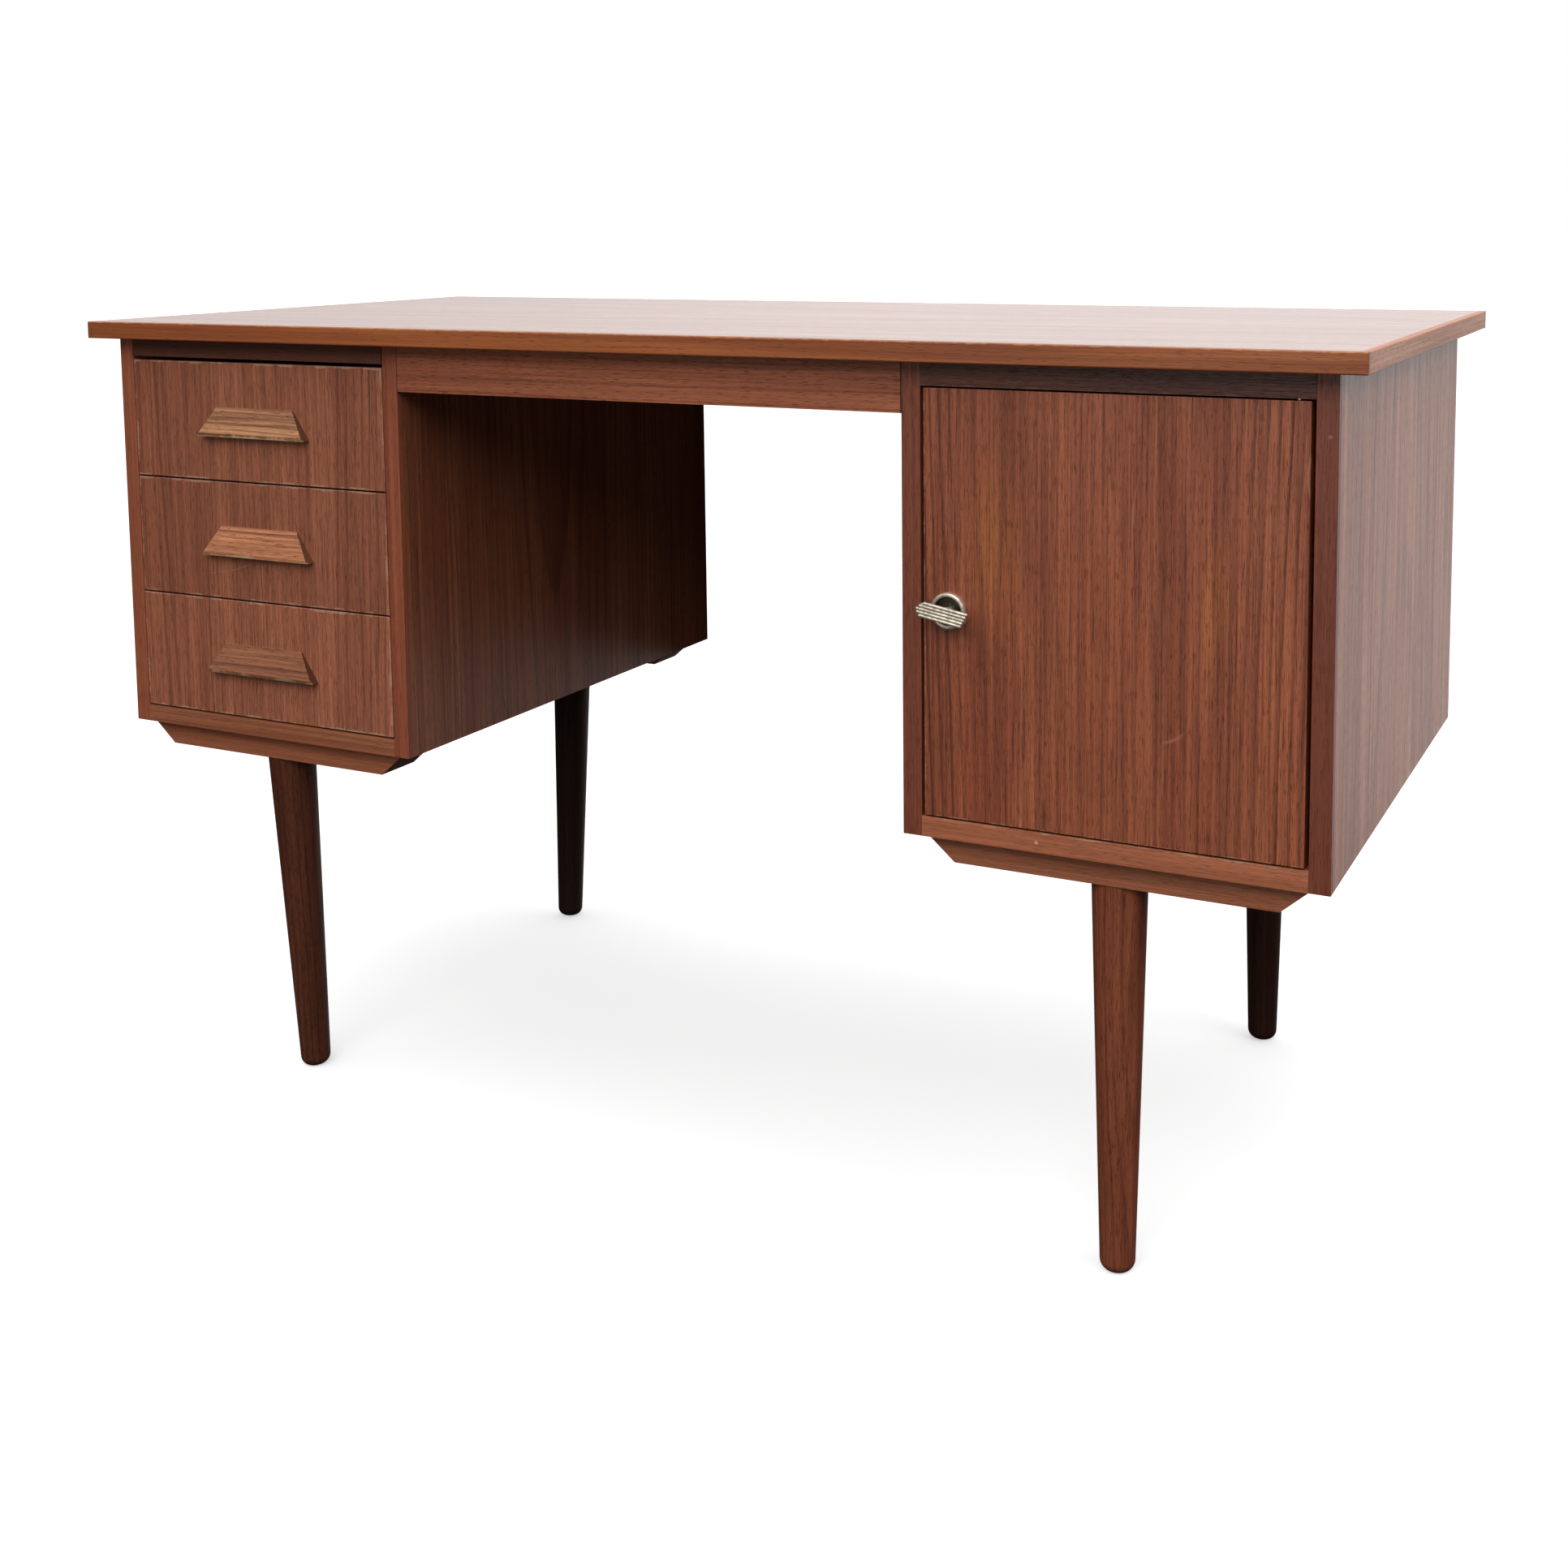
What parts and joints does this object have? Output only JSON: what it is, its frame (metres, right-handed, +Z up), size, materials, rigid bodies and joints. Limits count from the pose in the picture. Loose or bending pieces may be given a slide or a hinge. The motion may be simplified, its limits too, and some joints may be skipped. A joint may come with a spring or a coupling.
{
  "type": "writing desk",
  "caption": "Teak kneehole writing desk: thin top on two pedestals, stacked drawers left, lockable cupboard with a swinging door right, round tapered legs on battens.",
  "frame": {"origin": "on the floor, under the middle of the desktop", "axes": "+X along the desk towards the cupboard, -Y towards the sitter, +Z up"},
  "size_m": [1.2, 0.565, 0.726],
  "materials": {
    "teak_top_veneer": "oiled teak veneer, lengthwise grain, lightly worn",
    "teak_front_veneer": "oiled teak veneer, upright grain",
    "teak_side_veneer": "oiled teak veneer, upright grain",
    "teak_solid": "oiled solid teak, worn arrises",
    "teak_handles": "oiled solid teak, lengthwise grain",
    "teak_legs": "turned solid teak, darkened oil finish",
    "shelf_veneer": "teak veneer",
    "beech": "planed beech, waxed",
    "plywood": "birch plywood, sanded",
    "nickel_plate": "aged nickel plate, satin",
    "brass": "dull brass",
    "steel": "zinc-plated steel, dull"
  },
  "bodies": {
    "carcase": {"batten_screws": "steel", "cupboard_shelf": "shelf_veneer", "desktop_end_lippings": "teak_solid", "desktop_front_lipping": "teak_solid", "desktop_panel": "teak_top_veneer", "desktop_rear_lipping": "teak_solid", "door_stop": "beech", "drawer_runners": "beech", "hinge_bushes": "brass", "kneehole_front_rail": "teak_solid", "kneehole_rear_rail": "teak_solid", "left_back_panel": "plywood", "left_bottom_panel": "teak_solid", "left_front_batten": "teak_solid", "left_front_leg": "teak_legs", "left_inner_side": "teak_side_veneer", "left_outer_side": "teak_side_veneer", "left_rear_batten": "teak_solid", "left_rear_leg": "teak_legs", "left_top_rail": "teak_solid", "leg_bolts": "steel", "pedestal_rear_rails": "beech", "right_back_panel": "plywood", "right_bottom_panel": "teak_solid", "right_front_batten": "teak_solid", "right_front_leg": "teak_legs", "right_inner_side": "teak_side_veneer", "right_outer_side": "teak_side_veneer", "right_rear_batten": "teak_solid", "right_rear_leg": "teak_legs", "right_top_rail": "teak_solid", "shelf_pins": "brass", "side_front_lippings": "teak_solid", "strike_plate": "brass"},
    "upper_drawer": {"upper_drawer_back": "beech", "upper_drawer_bottom": "plywood", "upper_drawer_front": "teak_front_veneer", "upper_drawer_handle": "teak_handles", "upper_drawer_left_side": "beech", "upper_drawer_right_side": "beech"},
    "middle_drawer": {"middle_drawer_back": "beech", "middle_drawer_bottom": "plywood", "middle_drawer_front": "teak_front_veneer", "middle_drawer_handle": "teak_handles", "middle_drawer_left_side": "beech", "middle_drawer_right_side": "beech"},
    "lower_drawer": {"lower_drawer_back": "beech", "lower_drawer_bottom": "plywood", "lower_drawer_front": "teak_front_veneer", "lower_drawer_handle": "teak_handles", "lower_drawer_left_side": "beech", "lower_drawer_right_side": "beech"},
    "door": {"door_panel": "teak_front_veneer", "escutcheon": "nickel_plate", "hinge_pins": "steel", "lock_case": "steel", "lock_screws": "steel"},
    "key": {"key": "nickel_plate", "lock_plug": "brass"},
    "bolt": {"lock_bolt": "steel"}
  },
  "joints": [
    {"name": "upper_drawer_slide", "type": "slide", "parent": "carcase", "child": "upper_drawer", "axis": [0, -1, 0], "range_m": [0, 0.36]},
    {"name": "middle_drawer_slide", "type": "slide", "parent": "carcase", "child": "middle_drawer", "axis": [0, -1, 0], "range_m": [0, 0.36]},
    {"name": "lower_drawer_slide", "type": "slide", "parent": "carcase", "child": "lower_drawer", "axis": [0, -1, 0], "range_m": [0, 0.36]},
    {"name": "door_hinge", "type": "hinge", "parent": "carcase", "child": "door", "pos_m": [0.5483, -0.2565, 0.353], "axis": [0, 0, 1], "range_deg": [0, 110]},
    {"name": "key_turn", "type": "hinge", "parent": "door", "child": "key", "pos_m": [0.284, -0.2645, 0.518], "axis": [0, -1, 0], "range_deg": [0, 90]},
    {"name": "bolt_slide", "type": "slide", "parent": "door", "child": "bolt", "axis": [-1, 0, 0], "range_m": [0, 0.008]}
  ],
  "couplings": [
    {"joint": "key_turn", "follows": "bolt_slide", "rad_per_m": 196.34}
  ]
}
